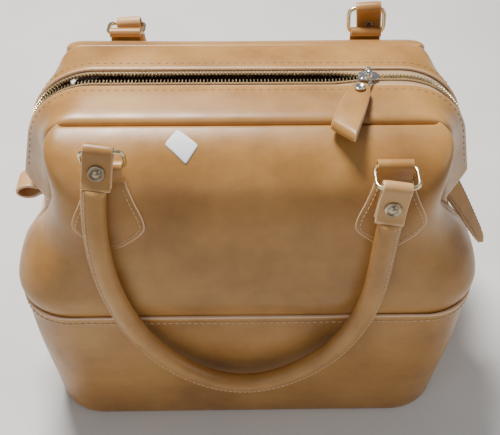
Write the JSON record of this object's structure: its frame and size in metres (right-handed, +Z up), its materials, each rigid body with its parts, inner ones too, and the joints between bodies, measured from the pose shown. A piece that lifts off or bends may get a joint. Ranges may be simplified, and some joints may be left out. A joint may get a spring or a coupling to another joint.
{
  "type": "doctor bag",
  "caption": "Leather doctor bag with a hinged box-top frame, an unzipped metal zip, rolled handles on rings and a stiff base band.",
  "frame": {"origin": "centre of the base's underside, on the surface that the bag stands on", "axes": "+Z up, -Y towards the front handle, +X to the right seen from the front"},
  "size_m": [0.4181, 0.276, 0.3106],
  "materials": {
    "leather": "smooth vegetable-tanned",
    "brass": "polished pale",
    "antique_brass": "antiqued",
    "nickel": "bright nickel",
    "zip_tape": "woven",
    "steel": "plain",
    "paper": "matt paper label",
    "board": "fibreboard",
    "rope": "twisted cotton"
  },
  "bodies": {
    "root": {"base_band": "leather", "base_panel": "leather", "base_board": "board", "front_panel": "leather", "back_panel": "leather", "left_gusset": "leather", "right_gusset": "leather", "left_hinge_pin": "steel", "right_hinge_pin": "steel", "left_zip_tab": "leather", "right_zip_tab": "leather", "price_sticker": "paper", "front_left_chape": "leather", "front_right_chape": "leather", "back_left_chape": "leather", "back_right_chape": "leather"},
    "front_frame": {"front_casing": "leather", "front_frame_bar": "steel", "front_hinge_leaves": "steel", "front_zip_tape": "zip_tape", "front_zip_teeth": "brass"},
    "front_rings": {"front_left_ring": "brass", "front_right_ring": "brass"},
    "front_handle": {"front_handle_grip": "leather", "front_handle_core": "rope", "front_left_handle_tab": "leather", "front_right_handle_tab": "leather", "front_left_handle_rivet": "antique_brass", "front_right_handle_rivet": "antique_brass"},
    "back_frame": {"back_casing": "leather", "back_frame_bar": "steel", "back_hinge_leaves": "steel", "back_zip_tape": "zip_tape", "back_zip_teeth": "brass"},
    "back_rings": {"back_left_ring": "brass", "back_right_ring": "brass"},
    "back_handle": {"back_handle_grip": "leather", "back_handle_core": "rope", "back_left_handle_tab": "leather", "back_right_handle_tab": "leather", "back_left_handle_rivet": "antique_brass", "back_right_handle_rivet": "antique_brass"},
    "slider": {"zip_slider": "nickel"},
    "pull": {"zip_pull_link": "nickel", "zip_pull_leather": "leather", "zip_pull_rivet": "nickel"}
  },
  "joints": [
    {"name": "frame_open", "type": "hinge", "parent": "root", "child": "front_frame", "pos_m": [0, 0, 0.218], "axis": [1, 0, 0], "range_deg": [0, 34], "deforming": ["front_panel", "left_gusset", "right_gusset"]},
    {"name": "frame_back", "type": "hinge", "parent": "root", "child": "back_frame", "pos_m": [0, 0, 0.218], "axis": [1, 0, 0], "range_deg": [-34, 0], "deforming": ["back_panel"]},
    {"name": "zip_slide", "type": "slide", "parent": "front_frame", "child": "slider", "axis": [1, 0, 0], "range_m": [-0.2, 0]},
    {"name": "zip_pull", "type": "hinge", "parent": "slider", "child": "pull", "pos_m": [0.0965, 0, 0.3036], "axis": [-0.9397, 0.342, 0], "range_deg": [0, 110]},
    {"name": "front_rings_swing", "type": "hinge", "parent": "root", "child": "front_rings", "pos_m": [0, -0.093, 0.283], "axis": [-1, 0, 0], "range_deg": [0, 60]},
    {"name": "front_handle_swing", "type": "hinge", "parent": "front_rings", "child": "front_handle", "pos_m": [0, -0.108, 0.29175], "axis": [-0.9913, 0.0741, 0.1089], "range_deg": [0, 100]},
    {"name": "back_rings_swing", "type": "hinge", "parent": "root", "child": "back_rings", "pos_m": [0, 0.093, 0.283], "axis": [1, 0, 0], "range_deg": [0, 60]},
    {"name": "back_handle_swing", "type": "hinge", "parent": "back_rings", "child": "back_handle", "pos_m": [0, 0.108, 0.29175], "axis": [0.9913, -0.0741, 0.1089], "range_deg": [0, 100]}
  ],
  "couplings": [
    {"joint": "frame_back", "follows": "frame_open", "ratio": -1}
  ]
}
